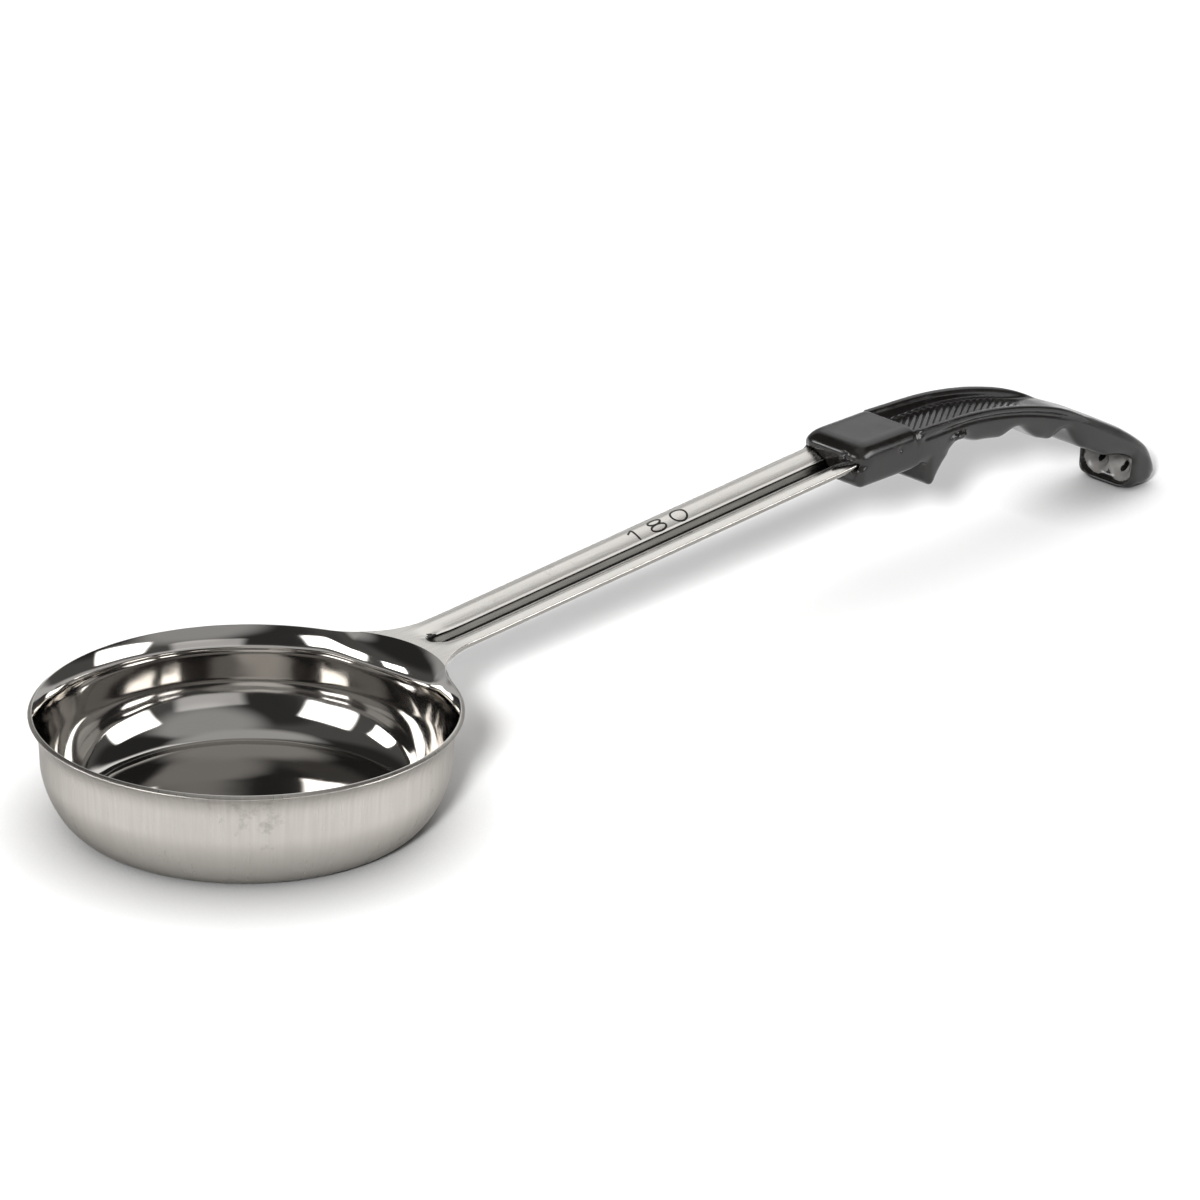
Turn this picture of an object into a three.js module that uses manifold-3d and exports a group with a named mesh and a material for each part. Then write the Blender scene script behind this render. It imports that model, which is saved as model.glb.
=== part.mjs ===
// Portion control ladle: a round flat-bottomed bowl, its neck and a troughed shank pressed from one
// sheet of stainless steel, with a black plastic grip moulded over the shank's end.
// Millimetres, +Z up. The origin is the centre of the bowl's flat base, and +X runs along the handle.

import * as THREE from 'three';
import { mergeVertices } from 'three/addons/utils/BufferGeometryUtils.js';
import Module from 'manifold-3d';

// Bowl
const rimDiameter = 100;
const bowlDepth = 26.5;
const sheetThickness = 1.2;
const baseDiameter = 76;
const cornerRise = 15;
const cornerRunOut = 5;
const cornerRunUp = 6;
const wallDraft = 0.2;
const lipFlare = 2.2;
const lipHeight = 7;
const headroom = 12;

// Neck and shank
const shankWidth = 17;
const neckFillet = 22;
const shankReach = 192.5;
const neckLap = 2.4;
const foldReach = 3.4;
const foldArc = 28;
const climbAngle = 3.67;
const climbStart = 52;
const climbBlend = 20;
const grooveHead = 56.5;
const grooveRunIn = 5;
const grooveDepth = 2.8;
const ridgeHeight = 0.4;
const grooveSharpness = 1.5;
const ridgeInset = 3.2;

// Tang, the flat end of the sheet inside the grip
const tangWidth = 12;
const tangLength = 33;
const tangShoulder = 3;
const tangBlend = 6;
const tangCover = 1;
const mouldGap = 0.3;

// Sleeve, the square block of the grip round the shank
const sleeveLength = 21.3;
const sleeveWidth = 20.6;
const sleeveAbove = 4.5;
const sleeveBelow = 5.9;
const sleeveTopRadius = 2;
const sleeveBottomRadius = 3;
const sleeveEdge = 1.2;
const sleeveLap = 2.2;

// Arm, the curved part of the grip behind the sleeve
const railDrop = 0.7;
const crownTilt = 2.3;
const crownStraight = 12;
const crownRadius = 122;
const crownBend = 29.3;
const knuckleRadius = 8;
const toeRadius = 5.5;
const armWidth = 19.4;
const rootTaper = 22;
const armDepth = 7.8;
const armDeepening = 0.03;
const railWidth = 2.2;
const railRound = 0.6;
const railBead = 1.7;
const beadOverhang = 0.7;
const channelDepth = 3.9;
const channelShoaling = 0.025;
const channelEnd = 69;
const channelFade = 22;
const channelBatter = 0.15;
const crownRound = 3;
const armEdge = 1.6;
const toeEdge = 5;
const noseRadius = 7;
const roundShare = 0.42;

// Finger grooves under the arm: place behind the sleeve, depth and half length
const indexGroovePlace = 16.5;
const indexGrooveDepth = 1.3;
const indexGrooveHalf = 7;
const middleGroovePlace = 38;
const middleGrooveDepth = 2.7;
const middleGrooveHalf = 8;
const ringGroovePlace = 55;
const ringGrooveDepth = 3.6;
const ringGrooveHalf = 6.5;
const littleGroovePlace = 79;
const littleGrooveDepth = 3.6;
const littleGrooveHalf = 14;
const fingerGrooves = [
  { place: indexGroovePlace, depth: indexGrooveDepth, half: indexGrooveHalf },
  { place: middleGroovePlace, depth: middleGrooveDepth, half: middleGrooveHalf },
  { place: ringGroovePlace, depth: ringGrooveDepth, half: ringGrooveHalf },
  { place: littleGroovePlace, depth: littleGrooveDepth, half: littleGrooveHalf },
];

// Stop lug under the arm, which catches on the rim of a pan
const lugSetback = 3.3;
const lugDrop = 8;
const lugTip = 2.6;
const lugTipRadius = 1;
const lugSpread = 11;
const lugSweep = 0.6;

// Hollow toe: a dish with two pockets, open towards the bowl
const toeLength = 12;
const toeStep = 0.3;
const toeLip = 1.7;
const dishDepth = 1.6;
const dishRoundness = 0.45;
const pocketDepth = 6.6;
const pocketWall = 0.9;
const pocketRadius = 2;

// Thumb ribs across the channel
const ribPitch = 2.4;
const ribAngle = 36;
const ribHeight = 0.5;
const ribBase = 1;
const ribStart = 4;
const ribEnd = 48;

// Facets
const latheSegments = 72;
const cornerSteps = 7;
const lipSteps = 4;
const neckSteps = 20;
const climbSteps = 5;
const armSteps = 52;
const cornerFacets = 5;
const edgeFacets = 3;
const fineStep = 0.05;
const grooveShares = [0.14, 0.3, 0.5, 0.75, 1];
const noseShares = [0, 0.25, 0.5, 0.7, 0.85, 0.95, 0.995];

const wasm = await Module();
wasm.setup();

const radians = THREE.MathUtils.degToRad;
const smooth = THREE.MathUtils.smoothstep;
const mix = THREE.MathUtils.lerp;

// A closed geometry as a solid for joining and cutting
function solid(geometry) {
  const bare = geometry.clone();
  bare.deleteAttribute('normal');
  bare.deleteAttribute('uv');
  const merged = mergeVertices(bare);
  return new wasm.Manifold(new wasm.Mesh({
    numProp: 3,
    vertProperties: new Float32Array(merged.attributes.position.array),
    triVerts: new Uint32Array(merged.index.array),
  }));
}

// A solid back as a geometry
function geometryOf(body) {
  const mesh = body.getMesh();
  const geometry = new THREE.BufferGeometry();
  geometry.setAttribute('position', new THREE.BufferAttribute(mesh.vertProperties, 3));
  geometry.setIndex(new THREE.BufferAttribute(mesh.triVerts, 1));
  geometry.computeVertexNormals();
  return geometry;
}

// A loft through rings of equal count, each a closed outline (y, z) at its own x, with flat ends
function loft(stations, ringAt) {
  const rings = stations.map(ringAt);
  const count = rings[0].length;
  const positions = rings.flatMap((ring, i) => ring.flatMap((p) => [stations[i], p.x, p.y]));
  const index = [];
  for (let i = 0; i + 1 < rings.length; i += 1) {
    for (let j = 0; j < count; j += 1) {
      const a = i * count + j;
      const b = i * count + (j + 1) % count;
      index.push(a, b, a + count, b, b + count, a + count);
    }
  }
  const addCap = (ring, start, forward) => {
    for (const [i, j, k] of THREE.ShapeUtils.triangulateShape(ring, [])) {
      const turn = new THREE.Vector2().subVectors(ring[j], ring[i])
        .cross(new THREE.Vector2().subVectors(ring[k], ring[i]));
      const face = turn > 0 === forward ? [i, j, k] : [i, k, j];
      index.push(...face.map((n) => n + start));
    }
  };
  addCap(rings[0], 0, false);
  addCap(rings.at(-1), (rings.length - 1) * count, true);
  const geometry = new THREE.BufferGeometry();
  geometry.setAttribute('position', new THREE.Float32BufferAttribute(positions, 3));
  geometry.setIndex(index);
  return geometry;
}

// An outline drawn across the handle, in (y, z), extruded along +X from a given x
const acrossHandle = new THREE.Matrix4().makeBasis(
  new THREE.Vector3(0, 1, 0),
  new THREE.Vector3(0, 0, 1),
  new THREE.Vector3(1, 0, 0),
);

function extrudeAlong(shape, start, settings) {
  const geometry = new THREE.ExtrudeGeometry(shape, settings);
  return geometry.applyMatrix4(acrossHandle).translate(start, 0, 0);
}

// A rectangle with round corners, between two corners, with its own radius below and above
function roundedRectangle(low, high, radiusBelow, radiusAbove) {
  const shape = new THREE.Shape();
  shape.absarc(low.x + radiusBelow, low.y + radiusBelow, radiusBelow, Math.PI, 1.5 * Math.PI);
  shape.absarc(high.x - radiusBelow, low.y + radiusBelow, radiusBelow, 1.5 * Math.PI, 2 * Math.PI);
  shape.absarc(high.x - radiusAbove, high.y - radiusAbove, radiusAbove, 0, 0.5 * Math.PI);
  shape.absarc(low.x + radiusAbove, high.y - radiusAbove, radiusAbove, 0.5 * Math.PI, Math.PI);
  shape.closePath();
  return shape;
}

// Bowl: a pressed shell with a flat base, a corner that turns up tightly and then slowly, a nearly upright wall
// and a flared lip
const rimRadius = rimDiameter / 2;
const wallTopRadius = rimRadius - lipFlare;
const wallFootRadius = wallTopRadius - wallDraft;
const flatRadius = baseDiameter / 2;
const cornerTop = Math.min(cornerRise, bowlDepth - lipHeight);

function bowlSide(inset) {
  const corner = new THREE.CubicBezierCurve(
    new THREE.Vector2(flatRadius, inset),
    new THREE.Vector2(flatRadius + cornerRunOut, inset),
    new THREE.Vector2(wallFootRadius - inset, cornerTop - cornerRunUp),
    new THREE.Vector2(wallFootRadius - inset, cornerTop),
  );
  const lip = new THREE.QuadraticBezierCurve(
    new THREE.Vector2(wallTopRadius - inset, bowlDepth - lipHeight),
    new THREE.Vector2(wallTopRadius - inset, bowlDepth - lipHeight / 2),
    new THREE.Vector2(rimRadius - inset, bowlDepth - sheetThickness / 2),
  );
  return [
    new THREE.Vector2(0, inset),
    ...corner.getPoints(cornerSteps),
    ...lip.getPoints(lipSteps),
  ];
}

function makeBowl() {
  const rim = new THREE.EllipseCurve(rimRadius - sheetThickness / 2, bowlDepth - sheetThickness / 2,
    sheetThickness / 2, sheetThickness / 2, 0, Math.PI);
  const profile = [
    ...bowlSide(0),
    ...rim.getPoints(lipSteps).slice(1, -1),
    ...bowlSide(sheetThickness).reverse(),
  ];
  return solid(new THREE.LatheGeometry(profile, latheSegments).rotateX(Math.PI / 2));
}

// The room inside the bowl, carried up past the rim so that nothing of the neck stands in it
function makeBowlRoom() {
  const profile = bowlSide(sheetThickness);
  const mouth = profile.at(-1).x;
  const ceiling = bowlDepth + headroom;
  profile.push(new THREE.Vector2(mouth, ceiling), new THREE.Vector2(0, ceiling));
  return solid(new THREE.LatheGeometry(profile, latheSegments).rotateX(Math.PI / 2));
}

// Neck and shank: the plan runs from the rim through two fillets to a parallel strip
const shankHalf = shankWidth / 2;
const neckCentre = Math.sqrt((rimRadius + neckFillet) ** 2 - (shankHalf + neckFillet) ** 2);
const neckRoot = neckCentre * rimRadius / (rimRadius + neckFillet);
const neckStart = neckRoot - neckLap;
const tangStart = shankReach + tangShoulder;
const tangEnd = shankReach + tangLength;

function climb(x) {
  const run = THREE.MathUtils.clamp(x - climbStart, 0, climbBlend);
  const past = Math.max(x - climbStart - climbBlend, 0);
  return Math.tan(radians(climbAngle)) * (run * run / (2 * climbBlend) + past);
}

const sleeveLevel = bowlDepth + climb(shankReach);
const sleeveTop = sleeveLevel + sleeveAbove;
const sleeveBottom = sleeveLevel - sleeveBelow;
const sleeveBack = shankReach + sleeveLength;
const tangTop = sleeveBottom + sleeveBottomRadius + tangCover;

function stripHalf(x) {
  const across = THREE.MathUtils.clamp(neckCentre - x, 0, neckCentre - neckRoot);
  const neck = shankHalf + neckFillet - Math.sqrt(neckFillet ** 2 - across ** 2);
  return mix(neck, tangWidth / 2, smooth(x, tangStart, tangStart + tangBlend));
}

// The pressed section: a ridge on each side of a central groove, flat again in the tang
function pressing(x, y) {
  const crest = shankHalf - ridgeInset;
  const half = Math.max(stripHalf(x), crest + ridgeInset);
  const off = Math.abs(y);
  const ridge = ridgeHeight * (off > crest ? 1 - ((off - crest) / (half - crest)) ** 2 : 1);
  const valley = off < crest ? (0.5 + 0.5 * Math.cos(Math.PI * off / crest)) ** grooveSharpness : 0;
  const pressed = smooth(x, grooveHead, grooveHead + grooveRunIn)
    * (1 - smooth(x, tangStart, tangStart + tangBlend));
  return pressed * (ridge - (ridgeHeight + grooveDepth) * valley);
}

function sheetTop(x, y) {
  const level = mix(bowlDepth + climb(x), tangTop, smooth(x, tangStart, tangStart + tangBlend));
  return level + pressing(x, y);
}

function stripRing(x, gap) {
  const half = stripHalf(x);
  const crest = Math.min(shankHalf - ridgeInset, half - sheetThickness);
  const side = grooveShares.map((share) => share * crest);
  side.push((crest + half) / 2, half + gap);
  const across = [...side.map((y) => -y).reverse(), 0, ...side];
  const below = across.map((y) => new THREE.Vector2(y, sheetTop(x, y) - sheetThickness - gap));
  const above = across.map((y) => new THREE.Vector2(y, sheetTop(x, y) + gap));
  return [...below, ...above.reverse()];
}

const spaced = (from, to, steps) => Array.from({ length: steps + 1 }, (_, i) => mix(from, to, i / steps));

function makeStrip(from, to, gap) {
  const stations = [from, to, neckRoot,
    ...spaced(neckStart, neckCentre, neckSteps),
    ...spaced(climbStart, climbStart + climbBlend, climbSteps),
    ...spaced(tangStart, tangStart + tangBlend, climbSteps)]
    .filter((x) => x >= from && x <= to)
    .sort((a, b) => a - b)
    .filter((x, i, all) => i === 0 || x - all[i - 1] > fineStep);
  return solid(loft(stations, (x) => stripRing(x, gap)));
}

// Fold between bowl and neck: the lip flares on past the rim and meets the flat of the neck in a crease, which
// is an arc round a point of its own in the bowl. The flare is kept to the plan of the neck.
const foldCentre = rimRadius + foldReach - foldArc;

function foldSide(outset) {
  const start = wallTopRadius - sheetThickness - foldCentre;
  const foot = bowlDepth - lipHeight;
  return new THREE.QuadraticBezierCurve(
    new THREE.Vector2(start + outset, foot - outset),
    new THREE.Vector2(start + outset, foot + lipHeight / 2 - outset),
    new THREE.Vector2(foldArc + outset, bowlDepth - outset),
  ).getPoints(lipSteps);
}

function foldLathe(profile) {
  const geometry = new THREE.LatheGeometry(profile, latheSegments).rotateX(Math.PI / 2);
  return solid(geometry.translate(foldCentre, 0, 0));
}

function makeFold() {
  const inside = foldSide(0).reverse();
  const outside = foldSide(sheetThickness);
  const flare = foldLathe([...outside, ...inside, outside[0]]);
  const edge = spaced(neckStart, neckCentre, neckSteps).map((x) => new THREE.Vector2(x, stripHalf(x)));
  const mirrored = edge.map((p) => new THREE.Vector2(p.x, -p.y)).reverse();
  const plan = new THREE.ExtrudeGeometry(new THREE.Shape([...edge, ...mirrored]), {
    depth: bowlDepth, bevelEnabled: false,
  });
  return flare.intersect(solid(plan));
}

function makeFoldRoom() {
  const profile = foldSide(0);
  const ceiling = bowlDepth + headroom;
  profile.unshift(new THREE.Vector2(0, profile[0].y));
  profile.push(new THREE.Vector2(foldArc, ceiling), new THREE.Vector2(0, ceiling));
  return foldLathe(profile);
}

function makeSteelBody() {
  const strip = makeStrip(neckStart, tangEnd, 0);
  return makeBowl().add(strip).add(makeFold()).subtract(makeBowlRoom()).subtract(makeFoldRoom());
}

// Arm of the grip: its crown is a short straight, a long arc, a second straight and a tight knuckle. The
// second straight is as long as it takes for the toe to come down to the level of the bowl's base.
const crownLevel = sleeveTop - railDrop;
const tilt = radians(crownTilt);
const bend = radians(crownBend);
const arcStart = new THREE.Vector2(
  sleeveBack + crownStraight,
  crownLevel - crownStraight * Math.tan(tilt),
);
const arcCentre = new THREE.Vector2(
  arcStart.x - crownRadius * Math.sin(tilt),
  arcStart.y - crownRadius * Math.cos(tilt),
);
const arcEnd = new THREE.Vector2(
  arcCentre.x + crownRadius * Math.sin(bend),
  arcCentre.y + crownRadius * Math.cos(bend),
);
const knuckleStart = new THREE.Vector2();
knuckleStart.y = toeRadius + knuckleRadius * Math.cos(bend);
knuckleStart.x = arcEnd.x + (arcEnd.y - knuckleStart.y) / Math.tan(bend);
const knuckleCentre = knuckleStart.x - knuckleRadius * Math.sin(bend);
const gripEnd = knuckleCentre + knuckleRadius;
const toeFront = gripEnd - toeLength;

function crown(x) {
  if (x < arcStart.x) return crownLevel - (x - sleeveBack) * Math.tan(tilt);
  if (x < arcEnd.x) return arcCentre.y + Math.sqrt(crownRadius ** 2 - (x - arcCentre.x) ** 2);
  if (x < knuckleStart.x) return arcEnd.y - (x - arcEnd.x) * Math.tan(bend);
  return toeRadius + Math.sqrt(Math.max(knuckleRadius ** 2 - (x - knuckleCentre) ** 2, 0));
}

function scoop(x, groove) {
  const away = Math.min(Math.abs(x - sleeveBack - groove.place) / groove.half, 1);
  return groove.depth * (0.5 + 0.5 * Math.cos(Math.PI * away));
}

function armUnderside(x) {
  const depth = armDepth + armDeepening * Math.max(x - sleeveBack, 0);
  const scooped = fingerGrooves.reduce((sum, groove) => sum + scoop(x, groove), 0);
  return crown(x) - depth + scooped;
}

function toeUnderside(x) {
  const past = Math.max(x - (gripEnd - toeRadius), 0);
  return toeRadius - Math.sqrt(Math.max(toeRadius ** 2 - past ** 2, 0));
}

// Half the width over the rails, drawn in round the nose
function armHalf(x) {
  const past = Math.max(x - (gripEnd - noseRadius), 0);
  return armWidth / 2 - noseRadius + Math.sqrt(noseRadius ** 2 - past ** 2);
}

// Half the width over the side walls, which leave the sleeve flush and then pass under the rails
function sideHalf(x) {
  const fade = smooth(x - sleeveBack, channelEnd - channelFade, channelEnd);
  const tucked = armHalf(x) - beadOverhang * (1 - fade);
  return mix(sleeveWidth / 2 - fineStep, tucked, smooth(x, sleeveBack, sleeveBack + rootTaper));
}

const channelFloor = (x) => {
  const run = x - sleeveBack;
  const open = 1 - smooth(run, channelEnd - channelFade, channelEnd);
  return crown(x) - open * (channelDepth - channelShoaling * run);
};

function armRing(x, inToe) {
  const half = armHalf(x);
  const top = crown(x);
  const bottom = inToe ? toeUnderside(x) : armUnderside(x);
  const fade = smooth(x - sleeveBack, channelEnd - channelFade, channelEnd);
  const floor = channelFloor(x);
  const round = Math.min(mix(railRound, crownRound, fade), roundShare * (top - bottom));
  const rail = Math.max(railWidth, round + railRound);
  const side = sideHalf(x);
  const ledge = Math.abs(half - side);
  const bead = mix(railBead, round + fineStep, fade);
  const edge = Math.min(inToe ? toeEdge : armEdge, roundShare * (top - bottom));
  const corner = 1 - Math.SQRT1_2;
  const flank = [
    [half - rail - railRound - channelBatter * (top - floor), floor],
    [half - rail, top - Math.min(railRound, (top - floor) / 2)],
    [half - round - fineStep, top],
    [half - corner * round, top - corner * round],
    [half, top - round],
    [half, top - bead],
    [side, top - bead - ledge - fineStep],
    [side, bottom + edge],
    [side - corner * edge, bottom + corner * edge],
    [side - edge, bottom],
  ];
  const left = flank.map(([y, z]) => new THREE.Vector2(-y, z));
  const right = flank.map(([y, z]) => new THREE.Vector2(y, z)).reverse();
  return [new THREE.Vector2(0, floor), ...left, new THREE.Vector2(0, bottom), ...right];
}

function makeArm() {
  const arm = spaced(sleeveBack - sleeveLap, toeFront, armSteps);
  const toe = noseShares.map((share) => mix(toeFront + toeStep, gripEnd, share));
  return solid(loft([...arm, ...toe], (x) => armRing(x, x > toeFront)));
}

function makeSleeve() {
  const inset = sleeveWidth / 2 - sleeveEdge;
  const outline = roundedRectangle(
    new THREE.Vector2(-inset, sleeveBottom + sleeveEdge),
    new THREE.Vector2(inset, sleeveTop - sleeveEdge),
    sleeveBottomRadius - sleeveEdge,
    sleeveTopRadius - sleeveEdge,
  );
  return solid(extrudeAlong(outline, shankReach + sleeveEdge, {
    depth: sleeveLength - 2 * sleeveEdge,
    bevelThickness: sleeveEdge,
    bevelSize: sleeveEdge,
    bevelSegments: edgeFacets,
    curveSegments: cornerFacets,
  }));
}

// Stop lug: an upright front face, a round tip and a back that sweeps up into the first finger groove
function makeLug() {
  const front = sleeveBack + lugSetback;
  const root = armUnderside(front);
  const foot = root - lugDrop;
  const back = front + lugSpread;
  const outline = new THREE.Shape();
  outline.moveTo(front, crown(front) - channelDepth);
  outline.lineTo(front, foot + lugTipRadius);
  outline.absarc(front + lugTipRadius, foot + lugTipRadius, lugTipRadius, Math.PI, 1.5 * Math.PI);
  outline.absarc(front + lugTip - lugTipRadius, foot + lugTipRadius, lugTipRadius,
    1.5 * Math.PI, 2 * Math.PI);
  outline.bezierCurveTo(front + 2 * lugTip, foot + lugSweep * lugDrop, front + lugSweep * lugSpread, root,
    back, armUnderside(back));
  outline.lineTo(back, armUnderside(back) + armEdge);
  outline.closePath();
  const width = 2 * sideHalf(front + lugTip);
  const geometry = new THREE.ExtrudeGeometry(outline, {
    depth: width, bevelEnabled: false, curveSegments: cornerFacets,
  });
  return solid(geometry.rotateX(Math.PI / 2).translate(0, width / 2, 0));
}

// Hollow of the toe: a shallow dish and two deep pockets on each side of a middle rib
function makeToeHollow() {
  const reach = armHalf(toeFront) - toeLip;
  const low = toeLip;
  const high = armUnderside(toeFront) - toeLip / 2;
  const roundness = dishRoundness * (high - low);
  const dish = roundedRectangle(new THREE.Vector2(-reach, low), new THREE.Vector2(reach, high),
    roundness, roundness);
  const plain = { bevelEnabled: false, curveSegments: cornerFacets };
  const start = toeFront - toeStep;
  let hollow = solid(extrudeAlong(dish, start, { ...plain, depth: dishDepth + 2 * toeStep }));
  for (const hand of [-1, 1]) {
    const inner = hand * pocketWall;
    const outer = hand * (reach - pocketWall);
    const pocket = roundedRectangle(
      new THREE.Vector2(Math.min(inner, outer), low + pocketWall),
      new THREE.Vector2(Math.max(inner, outer), high - pocketWall),
      pocketRadius,
      pocketRadius,
    );
    hollow = hollow.add(solid(extrudeAlong(pocket, start, { ...plain, depth: pocketDepth })));
  }
  return hollow;
}

// Thumb ribs: low three-sided bars laid across the channel floor at a slant, ending in the rails
function makeRibs() {
  const section = new THREE.Shape();
  section.moveTo(-ribBase / 2, -ribHeight);
  section.lineTo(ribBase / 2, -ribHeight);
  section.lineTo(0, ribHeight);
  section.closePath();
  const slant = radians(ribAngle);
  const ribs = [];
  for (let run = ribStart; run < ribEnd; run += ribPitch) {
    const x = sleeveBack + run;
    const half = armHalf(x) - railWidth;
    const length = 2 * half / Math.sin(slant);
    const rib = new THREE.ExtrudeGeometry(section, { depth: length, bevelEnabled: false });
    const fall = Math.atan2(channelFloor(x + ribBase) - channelFloor(x - ribBase), 2 * ribBase);
    rib.translate(0, 0, -length / 2)
      .applyMatrix4(acrossHandle)
      .rotateZ(slant)
      .rotateY(-fall)
      .translate(x, 0, channelFloor(x));
    ribs.push(solid(rib));
  }
  return ribs;
}

function makeGrip() {
  const socket = makeStrip(shankReach - sleeveEdge, tangEnd + mouldGap, mouldGap);
  let body = makeArm().add(makeLug());
  for (const rib of makeRibs()) body = body.add(rib);
  return body.add(makeSleeve()).subtract(makeToeHollow()).subtract(socket);
}

// The two pieces and their finishes
const stainlessSteel = new THREE.MeshStandardMaterial({ color: 0xc8c6c2, roughness: 0.22, metalness: 1 });
const blackPlastic = new THREE.MeshStandardMaterial({ color: 0x242322, roughness: 0.38, metalness: 0 });

const ladle = new THREE.Group();

function addPiece(name, body, material) {
  const piece = new THREE.Mesh(geometryOf(body), material);
  piece.name = name;
  ladle.add(piece);
}

addPiece('steel_body', makeSteelBody(), stainlessSteel);
addPiece('grip', makeGrip(), blackPlastic);

export default ladle;
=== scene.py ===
# Portion control ladle: a pressed stainless steel bowl, neck and shank, and a black moulded grip.
# Sizes are in millimetres until a mesh is made; Blender gets metres.

import math

import bpy
import numpy as np
from mathutils import Matrix, Vector


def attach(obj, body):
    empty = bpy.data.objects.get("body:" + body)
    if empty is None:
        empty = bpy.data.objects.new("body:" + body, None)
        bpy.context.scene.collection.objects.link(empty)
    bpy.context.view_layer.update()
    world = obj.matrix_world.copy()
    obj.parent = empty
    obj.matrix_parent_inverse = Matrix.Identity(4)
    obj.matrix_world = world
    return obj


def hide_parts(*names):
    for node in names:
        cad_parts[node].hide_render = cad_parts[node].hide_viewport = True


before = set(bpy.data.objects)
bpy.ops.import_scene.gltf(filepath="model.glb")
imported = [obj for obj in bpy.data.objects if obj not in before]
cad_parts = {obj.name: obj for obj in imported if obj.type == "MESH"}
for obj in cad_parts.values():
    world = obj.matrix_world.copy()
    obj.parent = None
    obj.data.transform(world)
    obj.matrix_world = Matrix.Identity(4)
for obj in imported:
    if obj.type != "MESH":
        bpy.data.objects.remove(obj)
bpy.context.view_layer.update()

# Steel pressing: bowl, neck, shank and the tang inside the grip are one sheet of 1.2 mm stainless steel,
# deep drawn, pressed with a central groove for stiffness and trimmed. The inside of the bowl is polished, the
# outside and the shank keep a satin finish from the grinding belt.
MM = 0.001
sheet = 1.2
edge_radius = 49.3
bowl_depth = 26.5
base_radius = 38.0
corner_rise, corner_run_out, corner_run_up = 15.0, 5.0, 6.0
wall_foot, wall_radius = 47.6, 46.6
lip_start = 19.5
shank_half = 8.5
neck_fillet = 22.0
fold_centre, fold_arc = 25.4, 28.0
climb_start, climb_blend, climb_slope = 52.0, 20.0, math.tan(math.radians(3.67))
tang_start, tang_blend, tang_end = 195.5, 6.0, 225.5
tang_half, tang_top = 6.0, 33.0
ridge_height, ridge_foot, ridge_crest = 0.2, 8.1, 5.8
trough_depth, trough_run, trough_curve, trough_start, trough_full = 1.4, 3.2, 1.3, 56.0, 67.0
notch_depth, notch_edge, notch_floor = 1.9, 2.2, 0.7
notch_start, notch_open, notch_first, notch_deepens = 57.9, 59.3, 0.7, (59.0, 65.0)
hollow_depth, hollow_middle, hollow_length, hollow_width, hollow_begin = 1.5, 61.2, 2.4, 2.3, (57.6, 59.4)


def mix(a, b, t):
    return a + (b - a) * t


def smooth(x, low, high):
    t = np.clip((np.asarray(x, float) - low) / (high - low), 0.0, 1.0)
    return t * t * (3.0 - 2.0 * t)


neck_centre = math.sqrt((edge_radius + neck_fillet) ** 2 - (shank_half + neck_fillet) ** 2)
root_angle = math.atan2(shank_half + neck_fillet, neck_centre)
root_x = edge_radius * math.cos(root_angle)


def strip_half(x):
    """Half the width of the sheet: the neck's fillet, the shank and the narrow tang."""
    short = np.clip(neck_centre - x, 0.0, neck_centre - root_x)
    neck = shank_half + neck_fillet - np.sqrt(neck_fillet ** 2 - short ** 2)
    return mix(neck, tang_half, smooth(x, tang_start, tang_start + tang_blend))


def pressed_section(x, y):
    """Height of the pressing over the sheet's edge: two low ridges that fall to a groove with steep sides."""
    off = np.abs(y)
    ridge = ridge_height * smooth(off, ridge_foot, ridge_crest)
    fall = trough_depth * (np.clip(ridge_crest - off, 0.0, trough_run) / trough_run) ** trough_curve
    notch = notch_depth * smooth(off, notch_edge, notch_floor)
    raised = smooth(x, trough_start, trough_full)
    cut = smooth(x, notch_start, notch_open) * mix(notch_first, 1.0, smooth(x, *notch_deepens))
    dent = np.exp(-((x - hollow_middle) / hollow_length) ** 2 - (off / hollow_width) ** 2)
    hollow = hollow_depth * dent * smooth(x, *hollow_begin)
    flat = 1.0 - smooth(x, tang_start, tang_start + tang_blend)
    return flat * (raised * (ridge - fall) - cut * notch - hollow)


def sheet_top(x, y):
    """Height of the sheet's upper side: level at the bowl, then a steady climb to the tang."""
    run = np.clip(x - climb_start, 0.0, climb_blend)
    past = np.maximum(x - climb_start - climb_blend, 0.0)
    level = bowl_depth + climb_slope * (run * run / (2.0 * climb_blend) + past)
    level = mix(level, tang_top, smooth(x, tang_start, tang_start + tang_blend))
    return level + pressed_section(x, y)


def bezier(a, b, c, t):
    a, b, c, t = np.asarray(a), np.asarray(b), np.asarray(c), np.asarray(t)[:, None]
    return (1 - t) ** 2 * a + 2 * t * (1 - t) * b + t * t * c


def cubic(a, b, c, d, t):
    a, b, c, d, t = np.asarray(a), np.asarray(b), np.asarray(c), np.asarray(d), np.asarray(t)[:, None]
    return (1 - t) ** 3 * a + 3 * t * (1 - t) ** 2 * b + 3 * t * t * (1 - t) * c + t ** 3 * d


# The mesh's columns across the shank are close together in the groove, and the bowl takes them on round the neck.
half_section = np.array([0.4, 0.8, 1.1, 1.4, 1.7, 2.0, 2.3, 2.6, 2.8,
                         3.4, 4.2, 5.0, 5.8, 6.6, 7.5, 8.2, 8.5]) / shank_half
across = np.concatenate([-half_section[::-1], [0.0], half_section])
fold_angle = math.radians(16.6)
neck_angles = fold_angle * across
rim_angles = np.concatenate([np.linspace(fold_angle, root_angle, 9)[1:],
                             np.linspace(root_angle, 2 * math.pi - root_angle, 151)[1:-1],
                             2 * math.pi - np.linspace(root_angle, fold_angle, 9)[:-1]])
angles = np.concatenate([neck_angles, rim_angles])
lip_shares = [0.12, 0.25, 0.38, 0.5, 0.62, 0.74, 0.86, 0.95, 0.988, 1.0]


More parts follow.
